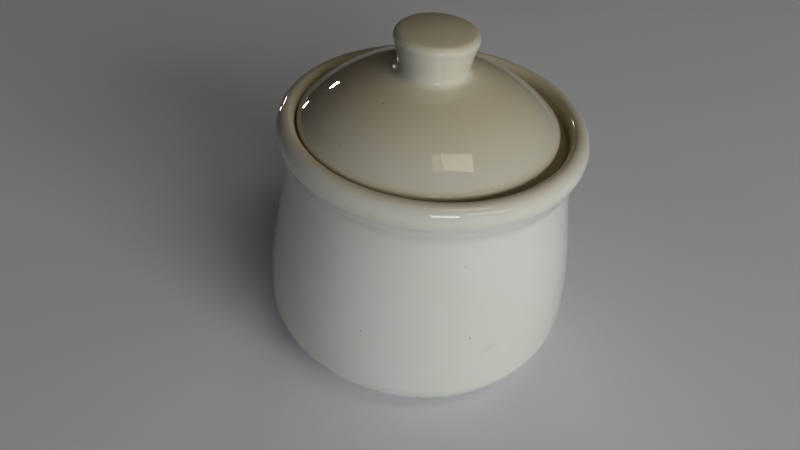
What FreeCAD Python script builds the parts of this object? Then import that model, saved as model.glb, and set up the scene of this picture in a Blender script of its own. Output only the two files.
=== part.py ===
import FreeCAD, Part

import math
import os

# A glazed ceramic pot with a rolled rim, and a domed lid with a flared knob that sits on a
# ledge inside the rim. Lengths are in mm. +Z is up, the pot's axis is the Z axis, z = 0 is
# the surface that the pot stands on, and -Y is the front.

# ---- Driving dimensions: pot, outside ----
RIM_R = 53.0               # widest circle of the rolled rim
RIM_LEVEL = 86.2           # height of that circle above the table
RIM_CREST_R = 48.8         # circle along the top of the rim
RIM_CREST_RISE = 5.2       # how far the crest stands above the widest circle
RIM_INNER_DROP = 3.1       # height of the rounding from the crest to the gallery wall
RIM_UNDER_R = 6.2          # radius of the rim's rounded underside
RIM_UNDER_TURN = 42.0      # how far that rounding turns under, degrees
BAND_END_R = 49.7          # crease where the band under the rim meets the body
BAND_END_DROP = 8.5        # depth of that crease below the widest circle
BAND_BULGE = 0.10          # how far the band stands out between its two creases
RIM_CREASE_R = 8.8         # softening of the crease between the band and the rim
BODY_CREASE_R = 7.6        # softening of the crease between the body and the band
BELLY_R = 57.6             # widest circle of the body
BELLY_LEVEL = 16.2         # its height above the table
FOOT_R = 41.0              # outer circle of the foot ring
FOOT_WIDTH = 4.5           # width of the flat ring that the pot stands on
FOOT_HEIGHT = 1.2          # height of the foot ring's outer side
FOOT_RECESS = 2.0          # how far the bottom is raised inside the foot ring
FOOT_RECESS_RUN = 1.5      # sloped inner side of the foot ring
FOOT_HANDLE = 0.59         # these four shape the body's curve: how far it keeps the
BELLY_LOWER_HANDLE = 0.53  # direction that it has at each end, as a share of the way
BELLY_UPPER_HANDLE = 0.41
CREASE_HANDLE = 0.26

# ---- Driving dimensions: pot, inside ----
WALL = 4.8                 # thickness of the body wall
FLOOR_TOP = 7.5            # height of the inside of the bottom
FLOOR_FLAT_R = 30.0        # flat middle of the inside of the bottom
GALLERY_R = 46.45          # upright wall that surrounds the lid's edge
LEDGE_DROP = 0.7           # top of the lid's ledge below the widest circle
LEDGE_R = 41.6             # inner circle of the ledge
LEDGE_H = 4.4              # height of the ledge's inner face
LEDGE_BLEND_H = 7.0        # height over which the ledge's underside runs into the wall
LEDGE_ROUND_R = 1.0        # rounding of the ledge's inner edge
GALLERY_FILLET_R = 0.7     # fillet between the ledge and the gallery wall

# ---- Driving dimensions: lid ----
LID_SHIFT_X = -1.5         # the lid rests a little off centre, within its clearance
LID_SHIFT_Y = 0.3
LID_R = 44.5               # outer circle of the lid
LID_EDGE_H = 4.0           # height of the lid's edge, before it is rounded
LID_EDGE_ROUND_R = 1.1     # rounding of the edge's upper corner
LID_EDGE_UNDER_R = 0.8     # rounding of its lower corner
DOME_RISE = 18.2           # rise of the dome from its edge to the knob's neck
DOME_BULGE = 2.9           # how far the dome stands above the chord between those two
LID_SHELL = 4.2            # thickness of the dome
NECK_R = 11.8              # knob's neck where it leaves the dome
NECK_FILLET_R = 2.4        # fillet between the dome and the neck
NECK_HOLLOW = 0.25         # how far the neck's side curves in
KNOB_R = 13.95             # outer circle of the knob's top
KNOB_H = 10.85             # height of its widest circle above the end of the dome
KNOB_EDGE_R = 2.1          # rounding of the knob's upper edge
KNOB_CROWN = 1.2           # rise of the knob's domed top from its edge to its centre
RING_R = 39.6              # outside of the locating ring under the lid
RING_WIDTH = 4.0
RING_DEPTH = 5.0           # how far the ring reaches below the ledge's top
RING_ROUND_R = 1.2         # rounding of the ring's lower corners
KNOB_HOLLOW_R = 6.5        # mouth of the hollow inside the knob
KNOB_HOLLOW_END_R = 4.5    # where its rounded end starts
KNOB_HOLLOW_END_H = 3.5    # height of that rounded end
KNOB_HOLLOW_H = 11.0       # height of the whole hollow

# ---- Worked-out values ----
LEDGE_TOP = RIM_LEVEL - LEDGE_DROP
BAND_END_LEVEL = RIM_LEVEL - BAND_END_DROP
QUARTER_ELLIPSE = 4.0 / 3.0 * (math.sqrt(2.0) - 1.0)   # handle of a quarter ellipse
SAME_CIRCLE = 0.001        # an edge this close to the circle asked for is that circle


# ---- Profiles are drawn as (radius, height) pairs in the XZ plane ----
def point(place):
    return FreeCAD.Vector(place[0], 0.0, place[1])


def part_way(start, end, share):
    return (start[0] + (end[0] - start[0]) * share, start[1] + (end[1] - start[1]) * share)


def line(start, end):
    return Part.LineSegment(point(start), point(end)).toShape()


def lines(*places):
    return [line(start, end) for start, end in zip(places, places[1:])]


def curve(*poles):
    bezier = Part.BezierCurve()
    bezier.setPoles([point(pole) for pole in poles])
    return bezier.toShape()


def quarter_ellipse(start, corner, end):
    """A quarter of an ellipse that touches start-corner and corner-end at its two ends."""
    return curve(start, part_way(start, corner, QUARTER_ELLIPSE),
                 part_way(end, corner, QUARTER_ELLIPSE), end)


def bulged_arc(start, end, bulge):
    """An arc whose middle stands off its chord by bulge, to the right of start-end."""
    chord_r = end[0] - start[0]
    chord_z = end[1] - start[1]
    length = math.hypot(chord_r, chord_z)
    middle = ((start[0] + end[0]) / 2.0 + chord_z / length * bulge,
              (start[1] + end[1]) / 2.0 - chord_r / length * bulge)
    return Part.Arc(point(start), point(middle), point(end)).toShape()


def turned_arc(centre, radius, first_deg, last_deg):
    """An arc about centre; angles are counted from outwards towards up."""
    def on_arc(degrees):
        angle = math.radians(degrees)
        return (centre[0] + radius * math.cos(angle), centre[1] + radius * math.sin(angle))
    middle_deg = (first_deg + last_deg) / 2.0
    return Part.Arc(point(on_arc(first_deg)), point(on_arc(middle_deg)),
                    point(on_arc(last_deg))).toShape()


def turn(edges):
    """The solid that a closed profile sweeps in one turn about the Z axis."""
    face = Part.Face(Part.Wire(edges))
    return face.revolve(FreeCAD.Vector(0, 0, 0), FreeCAD.Vector(0, 0, 1), 360.0)


def round_circle(shape, place, radius):
    """Round the corner of a turned shape that runs round the axis through place."""
    found = []
    for edge in shape.Edges:
        if not edge.Degenerated and isinstance(edge.Curve, Part.Circle):
            off_radius = abs(edge.Curve.Radius - place[0])
            off_height = abs(edge.Curve.Center.z - place[1])
            if off_radius < SAME_CIRCLE and off_height < SAME_CIRCLE:
                found.append(edge)
    if len(found) != 1:
        raise ValueError("no single corner at radius %.2f, height %.2f" % place)
    return shape.makeFillet(radius, found)


# ---- Pot ----
def body_curves(foot, belly, top, inset):
    """The body's curve from the foot to the belly and on to the top, moved in by inset."""
    belly_in = (belly[0] - inset, belly[1])
    top_in = (top[0] - inset, top[1])
    lower_h = belly[1] - foot[1]
    upper_h = top[1] - belly[1]
    foot_handle = (foot[0] + (belly_in[0] - foot[0]) * FOOT_HANDLE, foot[1])
    return [
        curve(foot, foot_handle,
              (belly_in[0], belly[1] - lower_h * BELLY_LOWER_HANDLE), belly_in),
        curve(belly_in, (belly_in[0], belly[1] + upper_h * BELLY_UPPER_HANDLE),
              (top_in[0], top[1] - upper_h * CREASE_HANDLE), top_in),
    ]


def pot_shape():
    belly = (BELLY_R, BELLY_LEVEL)
    band_end = (BAND_END_R, BAND_END_LEVEL)

    # Outside, from the foot ring up to the rim.
    foot_inner = (FOOT_R - FOOT_WIDTH, 0.0)
    foot_outer = (FOOT_R, 0.0)
    foot_top = (FOOT_R, FOOT_HEIGHT)
    under_centre = (RIM_R - RIM_UNDER_R, RIM_LEVEL)
    under_angle = math.radians(RIM_UNDER_TURN)
    under_end = (under_centre[0] + RIM_UNDER_R * math.cos(under_angle),
                 under_centre[1] - RIM_UNDER_R * math.sin(under_angle))
    rim_side = (RIM_R, RIM_LEVEL)
    crest_level = RIM_LEVEL + RIM_CREST_RISE
    crest = (RIM_CREST_R, crest_level)
    outside = lines(foot_inner, foot_outer, foot_top)
    outside += body_curves(foot_top, belly, band_end, 0.0)
    outside.append(bulged_arc(band_end, under_end, BAND_BULGE))
    outside.append(turned_arc(under_centre, RIM_UNDER_R, -RIM_UNDER_TURN, 0.0))
    outside.append(quarter_ellipse(rim_side, (RIM_R, crest_level), crest))

    # Inside, from the rim down to the bottom.
    gallery_top = (GALLERY_R, crest_level - RIM_INNER_DROP)
    gallery_corner = (GALLERY_R, LEDGE_TOP)
    ledge_edge = (LEDGE_R, LEDGE_TOP)
    ledge_under = (LEDGE_R, LEDGE_TOP - LEDGE_H)
    wall_top = (BAND_END_R, LEDGE_TOP - LEDGE_H - LEDGE_BLEND_H)
    wall_top_in = (BAND_END_R - WALL, wall_top[1])
    floor_edge = (FLOOR_FLAT_R, FLOOR_TOP)
    floor_side = (BELLY_R, BELLY_LEVEL + FLOOR_TOP)
    inside = [quarter_ellipse(crest, (GALLERY_R, crest_level), gallery_top)]
    inside += lines(gallery_top, gallery_corner, ledge_edge, ledge_under)
    inside.append(curve(ledge_under, (LEDGE_R, ledge_under[1] - LEDGE_BLEND_H / 2.0),
                        (wall_top_in[0], wall_top_in[1] + LEDGE_BLEND_H / 2.0), wall_top_in))
    inside += reversed(body_curves(floor_edge, floor_side, wall_top, WALL))

    # Bottom, with the recess inside the foot ring.
    recess_edge = (foot_inner[0] - FOOT_RECESS_RUN, FOOT_RECESS)
    bottom = lines(floor_edge, (0.0, FLOOR_TOP), (0.0, FOOT_RECESS), recess_edge, foot_inner)

    shape = turn(outside + inside + bottom)
    shape = round_circle(shape, band_end, BODY_CREASE_R)
    shape = round_circle(shape, under_end, RIM_CREASE_R)
    shape = round_circle(shape, gallery_corner, GALLERY_FILLET_R)
    shape = round_circle(shape, ledge_edge, LEDGE_ROUND_R)
    return shape


# ---- Lid ----
def dome_arc(start, end, bulge):
    """Centre and radius of the arc that rises bulge above the chord from start to end."""
    chord_r = end[0] - start[0]
    chord_z = end[1] - start[1]
    length = math.hypot(chord_r, chord_z)
    radius = (length * length / 4.0 + bulge * bulge) / (2.0 * bulge)
    below = radius - bulge
    centre = ((start[0] + end[0]) / 2.0 - chord_z / length * below,
              (start[1] + end[1]) / 2.0 + chord_r / length * below)
    return centre, radius


def height_on_arc(centre, radius, r):
    return centre[1] + math.sqrt(radius * radius - (r - centre[0]) ** 2)


def lid_shape():
    seat = LEDGE_TOP
    edge_top = (LID_R, seat + LID_EDGE_H)
    dome_end = (NECK_R, edge_top[1] + DOME_RISE)
    knob_side = (KNOB_R, dome_end[1] + KNOB_H)
    knob_corner = (KNOB_R, knob_side[1] + KNOB_EDGE_R)
    crown_r = KNOB_R - KNOB_EDGE_R
    crown_slope = 2.0 * KNOB_CROWN / crown_r
    knob_edge = (crown_r, knob_corner[1] + crown_slope * KNOB_EDGE_R)
    knob_middle = (0.0, knob_edge[1] + KNOB_CROWN)

    # Outside, from the edge over the dome to the top of the knob.
    outside = lines((LID_R, seat), edge_top)
    outside.append(bulged_arc(edge_top, dome_end, DOME_BULGE))
    outside.append(bulged_arc(dome_end, knob_side, -NECK_HOLLOW))
    outside.append(quarter_ellipse(knob_side, knob_corner, knob_edge))
    outside.append(curve(knob_edge, (crown_r / 2.0, knob_middle[1]), knob_middle))

    # Inside: the knob's hollow, the underside of the dome and the locating ring.
    centre, radius = dome_arc(edge_top, dome_end, DOME_BULGE)
    inner_radius = radius - LID_SHELL
    hollow_mouth = (KNOB_HOLLOW_R, height_on_arc(centre, inner_radius, KNOB_HOLLOW_R))
    hollow_top = (0.0, hollow_mouth[1] + KNOB_HOLLOW_H)
    hollow_side = (KNOB_HOLLOW_END_R, hollow_top[1] - KNOB_HOLLOW_END_H)
    ring_inner_r = RING_R - RING_WIDTH
    ring_root = (ring_inner_r, height_on_arc(centre, inner_radius, ring_inner_r))
    middle_r = (KNOB_HOLLOW_R + ring_inner_r) / 2.0
    middle = (middle_r, height_on_arc(centre, inner_radius, middle_r))
    ring_low = seat - RING_DEPTH
    inside = [line(knob_middle, hollow_top)]
    inside.append(quarter_ellipse(hollow_top, (KNOB_HOLLOW_END_R, hollow_top[1]), hollow_side))
    inside.append(line(hollow_side, hollow_mouth))
    inside.append(Part.Arc(point(hollow_mouth), point(middle), point(ring_root)).toShape())
    inside += lines(ring_root, (ring_inner_r, ring_low), (RING_R, ring_low),
                    (RING_R, seat), (LID_R, seat))

    shape = turn(outside + inside)
    shape = round_circle(shape, dome_end, NECK_FILLET_R)
    shape = round_circle(shape, edge_top, LID_EDGE_ROUND_R)
    shape = round_circle(shape, (LID_R, seat), LID_EDGE_UNDER_R)
    shape = round_circle(shape, (ring_inner_r, ring_low), RING_ROUND_R)
    shape = round_circle(shape, (RING_R, ring_low), RING_ROUND_R)
    shape.translate(FreeCAD.Vector(LID_SHIFT_X, LID_SHIFT_Y, 0.0))
    return shape


os.makedirs("parts", exist_ok=True)
for node, shape in {"pot": pot_shape(), "lid": lid_shape()}.items():
    if not shape.isValid() or len(shape.Solids) != 1:
        raise ValueError(node + " is not one valid solid")
    shape.exportStep("parts/" + node + ".step")
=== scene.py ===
import math

import bpy
from mathutils import Matrix, Vector, noise


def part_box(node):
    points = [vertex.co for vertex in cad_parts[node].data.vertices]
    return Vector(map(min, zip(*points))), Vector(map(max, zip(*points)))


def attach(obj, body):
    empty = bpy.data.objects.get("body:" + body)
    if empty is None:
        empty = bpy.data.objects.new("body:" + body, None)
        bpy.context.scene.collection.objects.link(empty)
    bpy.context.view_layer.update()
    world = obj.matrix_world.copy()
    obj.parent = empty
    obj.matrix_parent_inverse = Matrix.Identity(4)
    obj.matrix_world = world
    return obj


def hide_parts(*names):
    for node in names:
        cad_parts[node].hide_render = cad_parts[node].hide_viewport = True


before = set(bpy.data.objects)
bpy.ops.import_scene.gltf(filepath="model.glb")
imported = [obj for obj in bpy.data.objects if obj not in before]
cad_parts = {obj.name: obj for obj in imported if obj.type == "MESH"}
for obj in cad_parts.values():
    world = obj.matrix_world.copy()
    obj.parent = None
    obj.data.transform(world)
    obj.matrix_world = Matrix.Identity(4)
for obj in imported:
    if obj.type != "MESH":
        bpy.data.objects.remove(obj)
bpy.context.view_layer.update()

# A glazed ceramic pot and its lid, turned from their profiles. Lengths are in metres.
MM = 0.001
POT_LOW, POT_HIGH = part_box("pot")
LID_LOW, LID_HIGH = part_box("lid")

# ---- Pot, outside ----
RIM_R = 53.0 * MM
RIM_CREST_RISE = 5.2 * MM
RIM_LEVEL = POT_HIGH.z - RIM_CREST_RISE
RIM_CREST_R = 48.8 * MM
RIM_INNER_DROP = 3.1 * MM
RIM_UNDER_R = 6.2 * MM
RIM_UNDER_TURN = math.radians(42.0)
BAND_END_R = 49.7 * MM
BAND_END_DROP = 8.5 * MM
BAND_BULGE = 0.10 * MM
RIM_CREASE_REACH = 2.2 * MM      # how far the softening of each crease runs to each side
BODY_CREASE_REACH = 1.8 * MM
BELLY_R = 57.6 * MM
BELLY_LEVEL = 16.2 * MM
FOOT_R = 41.0 * MM
FOOT_WIDTH = 4.5 * MM
FOOT_HEIGHT = 1.2 * MM
FOOT_RECESS = 2.0 * MM
FOOT_RECESS_RUN = 1.5 * MM
FOOT_REACH = 0.35 * MM
FOOT_HANDLE = 0.59
BELLY_LOWER_HANDLE = 0.53
BELLY_UPPER_HANDLE = 0.41
CREASE_HANDLE = 0.26

# ---- Pot, inside ----
WALL = 4.8 * MM
FLOOR_TOP = 7.5 * MM
FLOOR_FLAT_R = 30.0 * MM
GALLERY_R = 46.45 * MM
LEDGE_DROP = 0.7 * MM
LEDGE_R = 41.6 * MM
LEDGE_H = 4.4 * MM
LEDGE_BLEND_H = 7.0 * MM
LEDGE_REACH = 0.9 * MM
GALLERY_REACH = 0.7 * MM
LEDGE_TOP = RIM_LEVEL - LEDGE_DROP

# ---- Lid ----
LID_AXIS = (LID_LOW + LID_HIGH) / 2.0
LID_R = (LID_HIGH.x - LID_LOW.x) / 2.0
LID_EDGE_H = 4.0 * MM
LID_EDGE_REACH = 0.8 * MM
DOME_RISE = 18.2 * MM
DOME_BULGE = 2.9 * MM
LID_SHELL = 4.2 * MM
NECK_R = 11.8 * MM
NECK_REACH = 2.6 * MM
NECK_HOLLOW = 0.25 * MM
KNOB_R = 13.95 * MM
KNOB_H = 10.85 * MM
KNOB_EDGE_R = 2.1 * MM
KNOB_CROWN = 1.2 * MM
RING_R = 39.6 * MM
RING_WIDTH = 4.0 * MM
RING_DEPTH = 5.0 * MM
RING_REACH = 1.1 * MM
KNOB_HOLLOW_R = 6.5 * MM
KNOB_HOLLOW_END_R = 4.5 * MM
KNOB_HOLLOW_END_H = 3.5 * MM
KNOB_HOLLOW_H = 11.0 * MM

# ---- Mesh fineness ----
TURN_STEPS = 256
CURVE_STEPS = 40
SHORT_STEPS = 14
LINE_STEP = 1.2 * MM
QUARTER_ELLIPSE = 4.0 / 3.0 * (math.sqrt(2.0) - 1.0)


# ---- Profile curves: lists of (radius, height) ----
def part_way(start, end, share):
    return (start[0] + (end[0] - start[0]) * share, start[1] + (end[1] - start[1]) * share)


def line(start, end):
    length = math.hypot(end[0] - start[0], end[1] - start[1])
    steps = max(2, math.ceil(length / LINE_STEP))
    return [part_way(start, end, i / steps) for i in range(steps + 1)]


def curve(p0, p1, p2, p3, steps=CURVE_STEPS):
    places = []
    for i in range(steps + 1):
        t = i / steps
        s = 1.0 - t
        weights = (s * s * s, 3.0 * s * s * t, 3.0 * s * t * t, t * t * t)
        places.append(tuple(sum(w * p[k] for w, p in zip(weights, (p0, p1, p2, p3)))
                            for k in (0, 1)))
    return places


def quarter_ellipse(start, corner, end, steps=SHORT_STEPS):
    return curve(start, part_way(start, corner, QUARTER_ELLIPSE),
                 part_way(end, corner, QUARTER_ELLIPSE), end, steps)


def turned_arc(centre, radius, first, last, steps=SHORT_STEPS):
    places = []
    for i in range(steps + 1):
        angle = first + (last - first) * i / steps
        places.append((centre[0] + radius * math.cos(angle),
                       centre[1] + radius * math.sin(angle)))
    return places


def arc_over(start, end, bulge):
    """Centre and radius of the arc that stands bulge off its chord, right of start-end."""
    chord_r = end[0] - start[0]
    chord_z = end[1] - start[1]
    length = math.hypot(chord_r, chord_z)
    radius = (length * length / 4.0 + bulge * bulge) / (2.0 * bulge)
    below = radius - bulge
    centre = ((start[0] + end[0]) / 2.0 - chord_z / length * below,
              (start[1] + end[1]) / 2.0 + chord_r / length * below)
    return centre, radius


def bulged_arc(start, end, bulge, steps=CURVE_STEPS):
    """That arc; a negative bulge makes a hollow instead."""
    centre, radius = arc_over(start, end, bulge)
    first = math.atan2(start[1] - centre[1], start[0] - centre[0])
    last = math.atan2(end[1] - centre[1], end[0] - centre[0])
    turn = (last - first + math.pi) % (2.0 * math.pi) - math.pi
    return turned_arc(centre, abs(radius), first, first + turn, steps)


def joined(*stretches):
    """One profile from stretches that meet end to end, each meeting point kept once."""
    profile = list(stretches[0])
    for stretch in stretches[1:]:
        profile += stretch[1:]
    return profile


def softened(profile, corner, reach, steps=6):
    """Replace a corner of the profile by a small round that starts reach before it."""
    at = min(range(len(profile)), key=lambda i: math.dist(profile[i], corner))

    def walk(step):
        travelled, i = 0.0, at
        while travelled < reach:
            gap = math.dist(profile[i], profile[i + step])
            if travelled + gap >= reach:
                return i, part_way(profile[i], profile[i + step], (reach - travelled) / gap)
            travelled += gap
            i += step
        return i, profile[i]

    before, start = walk(-1)
    after, end = walk(1)
    middle = profile[at]
    bend = [part_way(part_way(start, middle, i / steps), part_way(middle, end, i / steps), i / steps)
            for i in range(steps + 1)]
    return profile[:before] + bend + profile[after + 1:]


# ---- Pot ----
def body_curves(foot, belly, top, inset):
    """The body's curve from the foot to the belly and on to the top, moved in by inset."""
    belly_in = (belly[0] - inset, belly[1])
    top_in = (top[0] - inset, top[1])
    lower_h = belly[1] - foot[1]
    upper_h = top[1] - belly[1]
    foot_handle = (foot[0] + (belly_in[0] - foot[0]) * FOOT_HANDLE, foot[1])
    lower = curve(foot, foot_handle,
                  (belly_in[0], belly[1] - lower_h * BELLY_LOWER_HANDLE), belly_in)
    upper = curve(belly_in, (belly_in[0], belly[1] + upper_h * BELLY_UPPER_HANDLE),
                  (top_in[0], top[1] - upper_h * CREASE_HANDLE), top_in)
    return joined(lower, upper)


def pot_profile():
    belly = (BELLY_R, BELLY_LEVEL)
    band_end = (BAND_END_R, RIM_LEVEL - BAND_END_DROP)
    foot_inner = (FOOT_R - FOOT_WIDTH, 0.0)
    foot_outer = (FOOT_R, 0.0)
    foot_top = (FOOT_R, FOOT_HEIGHT)
    recess_edge = (foot_inner[0] - FOOT_RECESS_RUN, FOOT_RECESS)
    under_centre = (RIM_R - RIM_UNDER_R, RIM_LEVEL)
    under_end = (under_centre[0] + RIM_UNDER_R * math.cos(RIM_UNDER_TURN),
                 under_centre[1] - RIM_UNDER_R * math.sin(RIM_UNDER_TURN))
    rim_side = (RIM_R, RIM_LEVEL)
    crest_level = RIM_LEVEL + RIM_CREST_RISE
    crest = (RIM_CREST_R, crest_level)
    gallery_top = (GALLERY_R, crest_level - RIM_INNER_DROP)
    gallery_corner = (GALLERY_R, LEDGE_TOP)
    ledge_edge = (LEDGE_R, LEDGE_TOP)
    ledge_under = (LEDGE_R, LEDGE_TOP - LEDGE_H)
    wall_top = (BAND_END_R, LEDGE_TOP - LEDGE_H - LEDGE_BLEND_H)
    wall_top_in = (BAND_END_R - WALL, wall_top[1])
    floor_edge = (FLOOR_FLAT_R, FLOOR_TOP)
    floor_side = (BELLY_R, BELLY_LEVEL + FLOOR_TOP)
    profile = joined(
        line((0.0, FOOT_RECESS), recess_edge),
        line(recess_edge, foot_inner),
        line(foot_inner, foot_outer),
        line(foot_outer, foot_top),
        body_curves(foot_top, belly, band_end, 0.0),
        bulged_arc(band_end, under_end, BAND_BULGE, SHORT_STEPS),
        turned_arc(under_centre, RIM_UNDER_R, -RIM_UNDER_TURN, 0.0),
        quarter_ellipse(rim_side, (RIM_R, crest_level), crest),
        quarter_ellipse(crest, (GALLERY_R, crest_level), gallery_top),
        line(gallery_top, gallery_corner),
        line(gallery_corner, ledge_edge),
        line(ledge_edge, ledge_under),
        curve(ledge_under, (LEDGE_R, ledge_under[1] - LEDGE_BLEND_H / 2.0),
              (wall_top_in[0], wall_top_in[1] + LEDGE_BLEND_H / 2.0), wall_top_in),
        body_curves(floor_edge, floor_side, wall_top, WALL)[::-1],
        line(floor_edge, (0.0, FLOOR_TOP)),
    )
    corners = (
        (recess_edge, FOOT_REACH),
        (foot_inner, FOOT_REACH),
        (foot_outer, FOOT_REACH),
        (foot_top, FOOT_REACH),
        (band_end, BODY_CREASE_REACH),
        (under_end, RIM_CREASE_REACH),
        (gallery_corner, GALLERY_REACH),
        (ledge_edge, LEDGE_REACH),
    )
    for corner, reach in corners:
        profile = softened(profile, corner, reach)
    return profile


# ---- Lid ----
def height_on_arc(centre, radius, r):
    return centre[1] + math.sqrt(radius * radius - (r - centre[0]) ** 2)


def lid_profile():
    seat = LEDGE_TOP
    edge_low = (LID_R, seat)
    edge_top = (LID_R, seat + LID_EDGE_H)
    dome_end = (NECK_R, edge_top[1] + DOME_RISE)
    knob_side = (KNOB_R, dome_end[1] + KNOB_H)
    knob_corner = (KNOB_R, knob_side[1] + KNOB_EDGE_R)
    crown_r = KNOB_R - KNOB_EDGE_R
    crown_slope = 2.0 * KNOB_CROWN / crown_r
    knob_edge = (crown_r, knob_corner[1] + crown_slope * KNOB_EDGE_R)
    knob_middle = (0.0, knob_edge[1] + KNOB_CROWN)
    crown_handle = (crown_r / 2.0, knob_middle[1])

    centre, radius = arc_over(edge_top, dome_end, DOME_BULGE)
    inner_radius = radius - LID_SHELL
    ring_inner_r = RING_R - RING_WIDTH
    mouth = (KNOB_HOLLOW_R, height_on_arc(centre, inner_radius, KNOB_HOLLOW_R))
    root = (ring_inner_r, height_on_arc(centre, inner_radius, ring_inner_r))
    mouth_angle = math.atan2(mouth[1] - centre[1], mouth[0] - centre[0])
    root_angle = math.atan2(root[1] - centre[1], root[0] - centre[0])
    hollow_top = (0.0, mouth[1] + KNOB_HOLLOW_H)
    hollow_side = (KNOB_HOLLOW_END_R, hollow_top[1] - KNOB_HOLLOW_END_H)
    ring_low_inner = (ring_inner_r, seat - RING_DEPTH)
    ring_low_outer = (RING_R, seat - RING_DEPTH)
    ring_top = (RING_R, seat)
    profile = joined(
        quarter_ellipse(hollow_top, (KNOB_HOLLOW_END_R, hollow_top[1]), hollow_side),
        line(hollow_side, mouth),
        turned_arc(centre, inner_radius, mouth_angle, root_angle, CURVE_STEPS),
        line(root, ring_low_inner),
        line(ring_low_inner, ring_low_outer),
        line(ring_low_outer, ring_top),
        line(ring_top, edge_low),
        line(edge_low, edge_top),
        bulged_arc(edge_top, dome_end, DOME_BULGE),
        bulged_arc(dome_end, knob_side, -NECK_HOLLOW, SHORT_STEPS),
        quarter_ellipse(knob_side, knob_corner, knob_edge),
        curve(knob_edge, part_way(knob_edge, crown_handle, 2.0 / 3.0),
              part_way(knob_middle, crown_handle, 2.0 / 3.0), knob_middle, SHORT_STEPS),
    )
    corners = (
        (mouth, NECK_REACH / 2.0),
        (root, NECK_REACH),
        (ring_low_inner, RING_REACH),
        (ring_low_outer, RING_REACH),
        (ring_top, RING_REACH / 2.0),
        (edge_low, LID_EDGE_REACH),
        (edge_top, LID_EDGE_REACH),
        (dome_end, NECK_REACH),
    )
    for corner, reach in corners:
        profile = softened(profile, corner, reach)
    return profile


# ---- Turning a profile into a mesh ----
WAVINESS = 0.10 * MM             # the most that the glaze's surface dips below its profile
WAVE_SIZE = 26.0 * MM
ON_AXIS = 1e-9                   # a profile point this close to the axis is on it
POT_WAVES = 3.0                  # where in the noise each piece's waves are taken from
LID_WAVES = 11.0


def turned_piece(name, profile, axis, seed):
    """A closed surface of revolution, with shallow handmade dips that stay inside it."""
    vertices = []
    faces = []
    rings = []
    for r, z in profile:
        if r < ON_AXIS:
            rings.append([len(vertices)])
            vertices.append((axis.x, axis.y, z))
            continue
        first = len(vertices)
        for i in range(TURN_STEPS):
            angle = 2.0 * math.pi * i / TURN_STEPS
            vertices.append((axis.x + r * math.cos(angle), axis.y + r * math.sin(angle), z))
        rings.append(list(range(first, first + TURN_STEPS)))
    for lower, upper in zip(rings, rings[1:]):
        for i in range(TURN_STEPS):
            j = (i + 1) % TURN_STEPS
            if len(lower) == 1:
                faces.append((lower[0], upper[j], upper[i]))
            elif len(upper) == 1:
                faces.append((lower[i], lower[j], upper[0]))
            else:
                faces.append((lower[i], lower[j], upper[j], upper[i]))
    mesh = bpy.data.meshes.new(name)
    mesh.from_pydata(vertices, [], faces)
    mesh.update()
    normals = [vertex.normal.copy() for vertex in mesh.vertices]
    for vertex, normal in zip(mesh.vertices, normals):
        wave = noise.noise(vertex.co / WAVE_SIZE + Vector((seed, 0.0, 0.0)))
        depth = WAVINESS * (0.5 + 0.5 * wave)
        vertex.co -= normal * depth
    mesh.shade_smooth()
    piece = bpy.data.objects.new(name, mesh)
    bpy.context.scene.collection.objects.link(piece)
    return piece


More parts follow.
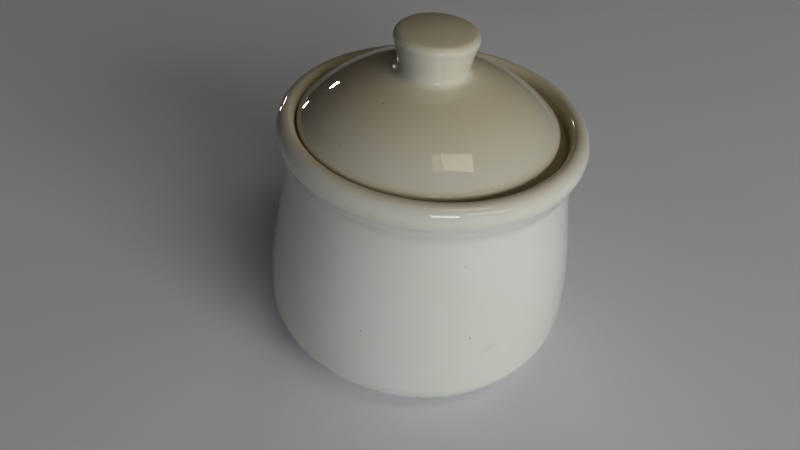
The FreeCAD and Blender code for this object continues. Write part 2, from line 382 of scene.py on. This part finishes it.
# ---- Materials ----
class Nodes:
    """Short ways to add shader nodes to one material."""

    def __init__(self, name):
        self.material = bpy.data.materials.new(name)
        self.material.use_nodes = True
        self.tree = self.material.node_tree
        self.shader = self.tree.nodes["Principled BSDF"]
        coords = self.tree.nodes.new("ShaderNodeTexCoord")
        self.place = coords.outputs["Object"]

    def link(self, output, node_input):
        self.tree.links.new(output, node_input)

    def put(self, node_input, value):
        """Link another node's output to an input, or set the input to a plain value."""
        if isinstance(value, bpy.types.NodeSocket):
            self.link(value, node_input)
        else:
            node_input.default_value = value

    def math(self, operation, first, second=0.0, clamp=False):
        node = self.tree.nodes.new("ShaderNodeMath")
        node.operation = operation
        node.use_clamp = clamp
        self.put(node.inputs[0], first)
        self.put(node.inputs[1], second)
        return node.outputs[0]

    def noise(self, scale, detail=3.0, roughness=0.5):
        node = self.tree.nodes.new("ShaderNodeTexNoise")
        node.inputs["Scale"].default_value = scale
        node.inputs["Detail"].default_value = detail
        node.inputs["Roughness"].default_value = roughness
        self.link(self.place, node.inputs["Vector"])
        return node.outputs["Fac"]

    def ramp(self, value, low, high, to_low=0.0, to_high=1.0):
        """A smooth step from to_low at low to to_high at high."""
        node = self.tree.nodes.new("ShaderNodeMapRange")
        node.interpolation_type = "SMOOTHSTEP"
        self.put(node.inputs["Value"], value)
        node.inputs["From Min"].default_value = low
        node.inputs["From Max"].default_value = high
        node.inputs["To Min"].default_value = to_low
        node.inputs["To Max"].default_value = to_high
        return node.outputs["Result"]

    def mix(self, share, first, second):
        node = self.tree.nodes.new("ShaderNodeMix")
        node.data_type = "RGBA"
        self.put(node.inputs["Factor"], share)
        self.put(node.inputs["A"], first)
        self.put(node.inputs["B"], second)
        return node.outputs["Result"]

    def radius_and_height(self, axis):
        """Distance from a vertical axis, and height, of the shaded point."""
        split = self.tree.nodes.new("ShaderNodeSeparateXYZ")
        self.link(self.place, split.inputs[0])
        x = self.math("SUBTRACT", split.outputs["X"], axis.x)
        y = self.math("SUBTRACT", split.outputs["Y"], axis.y)
        squares = self.math("ADD", self.math("MULTIPLY", x, x), self.math("MULTIPLY", y, y))
        return self.math("SQRT", squares), split.outputs["Z"]

    def distance(self, place, flatness=1.0):
        """How far the shaded point is from a place; heights count flatness times as much."""
        scale = Vector((1.0, 1.0, flatness))
        scaled = self.tree.nodes.new("ShaderNodeVectorMath")
        scaled.operation = "MULTIPLY"
        self.link(self.place, scaled.inputs[0])
        scaled.inputs[1].default_value = scale
        node = self.tree.nodes.new("ShaderNodeVectorMath")
        node.operation = "DISTANCE"
        self.link(scaled.outputs["Vector"], node.inputs[0])
        node.inputs[1].default_value = place * scale
        return node.outputs["Value"]

    def bump(self, height, distance, strength, normal=None):
        node = self.tree.nodes.new("ShaderNodeBump")
        node.inputs["Strength"].default_value = strength
        node.inputs["Distance"].default_value = distance
        self.link(height, node.inputs["Height"])
        if normal is not None:
            self.link(normal, node.inputs["Normal"])
        return node.outputs["Normal"]


# Glaze colours, linear.
POT_GLAZE = (0.775, 0.783, 0.765, 1.0)
POT_GLAZE_WARM = (0.765, 0.764, 0.718, 1.0)
# The lid's glaze is partly a warmer glaze than the pot's and partly painted shade: darker because
# its upward-facing top gets less light.
LID_GLAZE_SHADED = (0.725, 0.715, 0.632, 1.0)
LID_GLAZE_WARM_SHADED = (0.71, 0.694, 0.585, 1.0)
# Pooled glaze, also used as painted shade on the rim, in the crease under it and on the lid's top.
GLAZE_POOLED_AND_SHADE = (0.68, 0.605, 0.43, 1.0)
# Thin glaze; on the pot, also painted shade in the lid's seat.
GLAZE_THIN_AND_SHADE = (0.70, 0.615, 0.45, 1.0)
STAIN = (0.62, 0.53, 0.36, 1.0)
IRON = (0.11, 0.075, 0.045, 1.0)
BISQUE = (0.68, 0.59, 0.46, 1.0)
BISQUE_DARK = (0.42, 0.33, 0.23, 1.0)

GLAZE_IOR = 1.55
GLOSS_ROUGHNESS = 0.02
HANDLED_ROUGHNESS = 0.08
THIN_ROUGHNESS = 0.12            # added where the glaze is thin
BARE_ROUGHNESS = 0.75            # added where there is none

# Noise scales, per metre.
CLOUD_SCALE = 24.0               # warmer and cooler areas of glaze
HANDLING_SCALE = 38.0            # glossier and duller areas
SMEAR_SCALE = 420.0
CLAY_SCALE = 1300.0
FINE_SPECK_SCALE = 260.0
DIMPLE_SCALE = 75.0
PEEL_SCALE = 800.0

# Relief that is too fine for the mesh: depth and strength.
DIMPLES = (0.22 * MM, 0.30)
PEEL = (0.015 * MM, 0.22)
SPECK_PITS = (0.08 * MM, 0.6)
CLAY_GRAIN = (0.06 * MM, 0.8)

# Where the glaze is thin, pooled or bare; the thin and pooled tints also stand for painted shade.
# Darker, warmer glaze in the crease under the rim and over the rim: partly pooled glaze, partly
# painted shade.
CREASE_POOL_AND_SHADE_REACH = 3.0 * MM     # to each side of the crease under the rim
CREASE_POOLED_AND_SHADE = 0.12
RIM_POOL_AND_SHADE_LOW = RIM_LEVEL - 4.0 * MM
RIM_POOL_AND_SHADE_HIGH = RIM_LEVEL + 1.0 * MM
RIM_POOLED_AND_SHADE = 0.18
# Tan of thin glaze in the lid's seat and over the crest, partly painted shade in the crevice between
# lid and rim.
SEAT_THIN_AND_SHADE_R = GALLERY_R + 0.3 * MM
RIM_THIN_AND_SHADE_R = RIM_CREST_R + 4.0 * MM
FOOT_BARE_LOW = 0.7 * MM
FOOT_BARE_HIGH = 1.0 * MM
LID_THIN_REACH = 2.0 * MM
LID_THIN = 0.6
# Darker and more olive towards the dome's top and on the knob's top: partly pooled glaze, partly
# painted shade.
DOME_POOLED_AND_SHADE_LOW = 0.1
DOME_POOLED_AND_SHADE_HIGH = 0.8
NECK_POOLED_AND_SHADE = 0.1
KNOB_TOP_POOLED_AND_SHADE = 0.8
RING_BARE_H = 0.6 * MM
RING_BARE_BLUR = 0.2 * MM

# The specks that stand out: degrees round from the front towards +X, height, radius.
POT_SPECKS = (
    (-17.0, 38.4 * MM, 0.40 * MM),
    (17.0, 67.5 * MM, 0.32 * MM),
    (20.5, 39.5 * MM, 0.38 * MM),
    (-62.0, 51.0 * MM, 0.30 * MM),
    (118.0, 44.0 * MM, 0.38 * MM),
    (-151.0, 30.0 * MM, 0.42 * MM),
    (171.0, 62.0 * MM, 0.32 * MM),
)
LID_SPECKS = (
    (-37.0, 104.0 * MM, 0.40 * MM),
    (-40.5, 94.4 * MM, 0.36 * MM),
    (96.0, 97.5 * MM, 0.34 * MM),
    (163.0, 101.0 * MM, 0.38 * MM),
)
STAIN_PLACE = (27.5, 33.0 * MM)  # a faint smear on the belly
STAIN_REACH = 5.5 * MM
STAIN_FLATNESS = 2.6
STAIN_SHARE = 0.30
SPECK_SHARE = 0.65
FINE_SPECK_SHARE = 0.5
FINE_SPECK_RARITY = 0.90         # the share of the cells that have no fine speck


def on_outside(profile, axis, azimuth, height):
    """The place on a turned piece's outer side at an azimuth in degrees and a height."""
    radius = 0.0
    for low, high in zip(profile, profile[1:]):
        if min(low[1], high[1]) <= height <= max(low[1], high[1]) and low[1] != high[1]:
            share = (height - low[1]) / (high[1] - low[1])
            radius = max(radius, part_way(low, high, share)[0])
    angle = math.radians(azimuth)
    return Vector((axis.x + radius * math.sin(angle), axis.y - radius * math.cos(angle), height))


def add_specks(nodes, places):
    """Specks of iron: the chosen ones, and a scatter of faint fine ones."""
    voronoi = nodes.tree.nodes.new("ShaderNodeTexVoronoi")
    voronoi.inputs["Scale"].default_value = FINE_SPECK_SCALE
    nodes.link(nodes.place, voronoi.inputs["Vector"])
    near = nodes.ramp(voronoi.outputs["Distance"], 0.02, 0.06, 1.0, 0.0)
    pick = nodes.tree.nodes.new("ShaderNodeSeparateColor")
    nodes.link(voronoi.outputs["Color"], pick.inputs[0])
    rare = nodes.ramp(pick.outputs["Red"], FINE_SPECK_RARITY, 1.0, 0.0, FINE_SPECK_SHARE)
    specks = nodes.math("MULTIPLY", near, rare)
    for place, size in places:
        spot = nodes.ramp(nodes.distance(place), size * 0.3, size, SPECK_SHARE, 0.0)
        specks = nodes.math("MAXIMUM", specks, spot)
    return specks


def glaze(name, axis, main, warm, masks, specks, stain=None):
    """Glossy cream glaze; masks gives where it runs thinner, where it pools and where it is wiped
    off; the colours for thinner and pooling glaze also stand for painted shade.
    """
    nodes = Nodes(name)
    radius, height = nodes.radius_and_height(axis)
    thin_and_shade, pooled_and_shade, bare = masks(nodes, radius, height)

    clouds = nodes.ramp(nodes.noise(CLOUD_SCALE, 4.0), 0.35, 0.70)
    colour = nodes.mix(clouds, main, warm)
    # Darker, warmer glaze: partly pooled glaze, partly painted shade.
    colour = nodes.mix(pooled_and_shade, colour, GLAZE_POOLED_AND_SHADE)
    colour = nodes.mix(thin_and_shade, colour, GLAZE_THIN_AND_SHADE)
    if stain is not None:
        smear = nodes.ramp(nodes.distance(stain, STAIN_FLATNESS), 0.0, STAIN_REACH,
                           STAIN_SHARE, 0.0)
        patchy = nodes.ramp(nodes.noise(SMEAR_SCALE), 0.3, 0.6)
        colour = nodes.mix(nodes.math("MULTIPLY", smear, patchy), colour, STAIN)
    iron = add_specks(nodes, specks)
    colour = nodes.mix(iron, colour, IRON)
    grain = nodes.ramp(nodes.noise(CLAY_SCALE), 0.35, 0.7)
    clay = nodes.mix(nodes.math("MULTIPLY", grain, 0.5), BISQUE, BISQUE_DARK)
    colour = nodes.mix(bare, colour, clay)
    nodes.link(colour, nodes.shader.inputs["Base Color"])

    handling = nodes.ramp(nodes.noise(HANDLING_SCALE, 5.0, 0.6), 0.45, 0.80,
                          GLOSS_ROUGHNESS, HANDLED_ROUGHNESS)
    from_thin = nodes.math("MULTIPLY", thin_and_shade, THIN_ROUGHNESS)
    from_bare = nodes.math("MULTIPLY", bare, BARE_ROUGHNESS)
    roughness = nodes.math("ADD", handling, from_thin)
    roughness = nodes.math("ADD", roughness, from_bare, clamp=True)
    nodes.link(roughness, nodes.shader.inputs["Roughness"])
    nodes.shader.inputs["IOR"].default_value = GLAZE_IOR

    normal = nodes.bump(nodes.noise(DIMPLE_SCALE, 2.0), *DIMPLES)
    normal = nodes.bump(nodes.noise(PEEL_SCALE, 2.0), *PEEL, normal)
    normal = nodes.bump(nodes.math("MULTIPLY", iron, -1.0), *SPECK_PITS, normal)
    normal = nodes.bump(nodes.math("MULTIPLY", bare, grain), *CLAY_GRAIN, normal)
    nodes.link(normal, nodes.shader.inputs["Normal"])
    return nodes.material


def pot_masks(nodes, radius, height):
    """Thinner in the lid's seat and over the crest, its tan partly painted shade in the crevice
    under the lid; pooling a little on the rim and in the crease under it, partly painted shade there
    too; bare on the foot.
    """
    # Tan in the seat: thin glaze, and painted shade in the crevice under the lid.
    inside = nodes.ramp(radius, SEAT_THIN_AND_SHADE_R, RIM_THIN_AND_SHADE_R, 1.0, 0.0)
    in_seat = nodes.ramp(height, LEDGE_TOP - LEDGE_H, LEDGE_TOP, 0.0, 1.0)
    thin_and_shade = nodes.math("MULTIPLY", inside, in_seat)
    # Darker in the crease under the rim and over the rim: partly pooled glaze, partly painted shade.
    from_crease = nodes.math("ABSOLUTE", nodes.math("SUBTRACT", height, RIM_LEVEL - BAND_END_DROP))
    crease_pool_and_shade = nodes.ramp(from_crease, 0.0, CREASE_POOL_AND_SHADE_REACH, CREASE_POOLED_AND_SHADE, 0.0)
    rim_pool_and_shade = nodes.ramp(height, RIM_POOL_AND_SHADE_LOW, RIM_POOL_AND_SHADE_HIGH, 0.0, RIM_POOLED_AND_SHADE)
    pooled_and_shade = nodes.math("MAXIMUM", crease_pool_and_shade, rim_pool_and_shade)
    bare = nodes.ramp(height, FOOT_BARE_LOW, FOOT_BARE_HIGH, 1.0, 0.0)
    return thin_and_shade, pooled_and_shade, bare


def lid_masks(nodes, radius, height):
    """Thin at the lid's edge; darker and more olive towards the dome's top and on the knob's top,
    partly glaze pooling where it is nearly level, partly painted shade for upward faces that get
    less light; bare below.
    """
    # Only thin glaze here, at the lid's edge.
    thin_and_shade = nodes.ramp(radius, LID_R - LID_THIN_REACH, LID_R, 0.0, LID_THIN)
    dome_low = LEDGE_TOP + LID_EDGE_H
    dome_high = dome_low + DOME_RISE
    knob_side = dome_high + KNOB_H
    # Painted shade, with pooled glaze, rising towards the dome's top and on the knob's top.
    dome_pool_and_shade = nodes.ramp(height, dome_low + 2.0 * MM, dome_high - 3.0 * MM,
                         DOME_POOLED_AND_SHADE_LOW, DOME_POOLED_AND_SHADE_HIGH)
    off_neck = nodes.ramp(height, dome_high - 2.5 * MM, dome_high + 1.5 * MM, 1.0, NECK_POOLED_AND_SHADE)
    knob_top_pool_and_shade = nodes.ramp(height, knob_side, knob_side + 1.5 * KNOB_EDGE_R, 0.0, KNOB_TOP_POOLED_AND_SHADE)
    pooled_and_shade = nodes.math("MAXIMUM", nodes.math("MULTIPLY", dome_pool_and_shade, off_neck), knob_top_pool_and_shade)
    bare_level = LEDGE_TOP - RING_DEPTH + RING_BARE_H
    bare = nodes.ramp(height, bare_level - RING_BARE_BLUR, bare_level + RING_BARE_BLUR, 1.0, 0.0)
    return thin_and_shade, pooled_and_shade, bare


def add_piece(name, body, profile, axis, seed, material):
    """Turn a profile into the visible piece that stands for one CAD node."""
    piece = turned_piece(name, profile, axis, seed)
    piece.data.materials.append(material)
    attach(piece, body)
    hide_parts(body)


def build_object():
    pot_axis = Vector((0.0, 0.0, 0.0))
    pot = pot_profile()
    pot_specks = [(on_outside(pot, pot_axis, azimuth, height), size)
                  for azimuth, height, size in POT_SPECKS]
    stain = on_outside(pot, pot_axis, *STAIN_PLACE)
    add_piece("pot_glazed", "pot", pot, pot_axis, POT_WAVES,
              glaze("pot_glaze", pot_axis, POT_GLAZE, POT_GLAZE_WARM, pot_masks, pot_specks, stain))
    lid = lid_profile()
    lid_specks = [(on_outside(lid, LID_AXIS, azimuth, height), size)
                  for azimuth, height, size in LID_SPECKS]
    add_piece("lid_glazed", "lid", lid, LID_AXIS, LID_WAVES,
              glaze("lid_glaze", LID_AXIS, LID_GLAZE_SHADED, LID_GLAZE_WARM_SHADED, lid_masks, lid_specks))


# ---- Camera ----
CAMERA_AWAY = 247.9 * MM         # distance from the rim's centre to the camera
CAMERA_ABOVE = 0.566             # angle of that line above the horizon, radians
AIM_TURN = -0.040                # the picture's centre lies a little left of the rim's centre
AIM_BELOW = 0.141                # and below it
CAMERA_ROLL = 0.079
LENS_MM = 32.4
SENSOR_MM = 36.0
CLIP_START = 10.0 * MM


def add_camera():
    data = bpy.data.cameras.new("camera")
    data.lens = LENS_MM
    data.sensor_width = SENSOR_MM
    data.clip_start = CLIP_START
    camera = bpy.data.objects.new("camera", data)
    bpy.context.scene.collection.objects.link(camera)
    place = Vector((0.0, -CAMERA_AWAY * math.cos(CAMERA_ABOVE),
                    RIM_LEVEL + CAMERA_AWAY * math.sin(CAMERA_ABOVE)))
    down = CAMERA_ABOVE + AIM_BELOW
    forward = Vector((math.sin(AIM_TURN) * math.cos(down),
                      math.cos(AIM_TURN) * math.cos(down), -math.sin(down)))
    right = forward.cross(Vector((0.0, 0.0, 1.0))).normalized()
    up = right.cross(forward)
    right_rolled = right * math.cos(CAMERA_ROLL) + up * math.sin(CAMERA_ROLL)
    up_rolled = up * math.cos(CAMERA_ROLL) - right * math.sin(CAMERA_ROLL)
    turn = Matrix((right_rolled, up_rolled, -forward)).transposed().to_4x4()
    camera.matrix_world = Matrix.Translation(place) @ turn
    bpy.context.scene.camera = camera


# ---- Floor and light ----
FLOOR_R = 950.0 * MM
FLOOR_STEPS = 128
FLOOR_DARK = (0.80, 0.82, 0.86, 1.0)
FLOOR_LIGHT = (0.84, 0.86, 0.90, 1.0)


def add_floor():
    """A round table top; it ends before the lights do, so its far edge isn't overlit."""
    mesh = bpy.data.meshes.new("floor")
    turns = [2.0 * math.pi * i / FLOOR_STEPS for i in range(FLOOR_STEPS)]
    edge = [(FLOOR_R * math.cos(turn), FLOOR_R * math.sin(turn), 0.0) for turn in turns]
    mesh.from_pydata(edge, [], [tuple(range(FLOOR_STEPS))])
    floor = bpy.data.objects.new("floor", mesh)
    bpy.context.scene.collection.objects.link(floor)
    nodes = Nodes("floor_paper")
    shade = nodes.ramp(nodes.noise(3.0, 3.0), 0.3, 0.7)
    nodes.link(nodes.mix(shade, FLOOR_DARK, FLOOR_LIGHT), nodes.shader.inputs["Base Color"])
    nodes.shader.inputs["Roughness"].default_value = 0.9
    nodes.shader.inputs["Specular IOR Level"].default_value = 0.1
    floor.data.materials.append(nodes.material)


def add_panel(name, azimuth, elevation, distance, width, height, watts, colour, roll=0.0,
              shift=0.0, in_gloss=True, in_diffuse=True):
    """A soft light that faces the pot; azimuth 0 is the front and 90 the right.

    It is rolled about its own aim, and shifted along its width after that. It can be kept
    out of the reflections, or kept to them.
    """
    data = bpy.data.lights.new(name, "AREA")
    data.shape = "RECTANGLE"
    data.size = width
    data.size_y = height
    data.energy = watts
    data.color = colour
    light = bpy.data.objects.new(name, data)
    bpy.context.scene.collection.objects.link(light)
    az = math.radians(azimuth)
    el = math.radians(elevation)
    away = Vector((math.sin(az) * math.cos(el), -math.cos(az) * math.cos(el), math.sin(el)))
    aim = (-away).to_track_quat("-Z", "Y").to_matrix() @ Matrix.Rotation(math.radians(roll), 3, "Z")
    place = Vector((0.0, 0.0, RIM_LEVEL)) + away * distance + aim @ Vector((shift, 0.0, 0.0))
    light.matrix_world = Matrix.Translation(place) @ aim.to_4x4()
    light.visible_glossy = in_gloss
    light.visible_diffuse = in_diffuse


COOL = (0.88, 0.95, 1.0)
NEUTRAL = (1.0, 0.99, 0.965)
WARM = (1.0, 0.96, 0.88)
AMBER = (1.0, 0.90, 0.74)


def add_lights():
    """Each panel's azimuth, elevation, distance, width, height, watts and colour."""
    # These light the pot and the floor, without a reflection of their own.
    add_panel("softbox", 43.0, 16.0, 1.6, 1.0, 0.7, 8.9, NEUTRAL, in_gloss=False)
    add_panel("side_window", 75.0, 46.0, 1.6, 0.7, 0.7, 0.8, NEUTRAL, in_gloss=False)
    add_panel("fill", 178.0, 12.0, 2.0, 0.8, 0.8, 4.2, NEUTRAL, in_gloss=False)
    # These also make the streaks on the rim and the panes on the dome.
    add_panel("window", 14.5, 20.0, 1.6, 0.50, 0.38, 3.0, COOL)
    add_panel("window_top", 45.0, 27.0, 1.6, 0.80, 0.16, 1.0, AMBER, -29.0)
    add_panel("skylight", 44.7, 65.4, 1.4, 0.49, 0.28, 0.85, AMBER, -27.0, 0.07)
    add_panel("skylight_side", 44.7, 65.4, 1.4, 0.12, 0.28, 0.11, AMBER, -27.0, -0.255)
    # These are only glints, on the left.
    add_panel("door_high", -145.0, 10.3, 1.6, 0.11, 0.07, 0.9, WARM, in_diffuse=False)
    add_panel("door_low", -139.7, -1.0, 1.6, 0.06, 0.06, 0.4, WARM, in_diffuse=False)


ROOM_COLOUR = (1.0, 0.80, 0.52, 1.0)
ROOM_STRENGTH = 0.007
BACKDROP_COLOUR = (0.98, 0.99, 1.0, 1.0)
BACKDROP_STRENGTH = 0.24


def add_room():
    """A dim warm room round the pot; the camera itself sees a plain grey backdrop."""
    world = bpy.data.worlds.new("room")
    world.use_nodes = True
    tree = world.node_tree
    room = tree.nodes["Background"]
    room.inputs["Color"].default_value = ROOM_COLOUR
    room.inputs["Strength"].default_value = ROOM_STRENGTH
    backdrop = tree.nodes.new("ShaderNodeBackground")
    backdrop.inputs["Color"].default_value = BACKDROP_COLOUR
    backdrop.inputs["Strength"].default_value = BACKDROP_STRENGTH
    ray = tree.nodes.new("ShaderNodeLightPath")
    either = tree.nodes.new("ShaderNodeMixShader")
    tree.links.new(ray.outputs["Is Camera Ray"], either.inputs["Fac"])
    tree.links.new(room.outputs["Background"], either.inputs[1])
    tree.links.new(backdrop.outputs["Background"], either.inputs[2])
    tree.links.new(either.outputs["Shader"], tree.nodes["World Output"].inputs["Surface"])
    bpy.context.scene.world = world


build_object()
add_camera()
add_floor()
add_lights()
add_room()
bpy.context.scene.view_settings.view_transform = "Standard"
bpy.context.scene.view_settings.look = "Medium High Contrast"
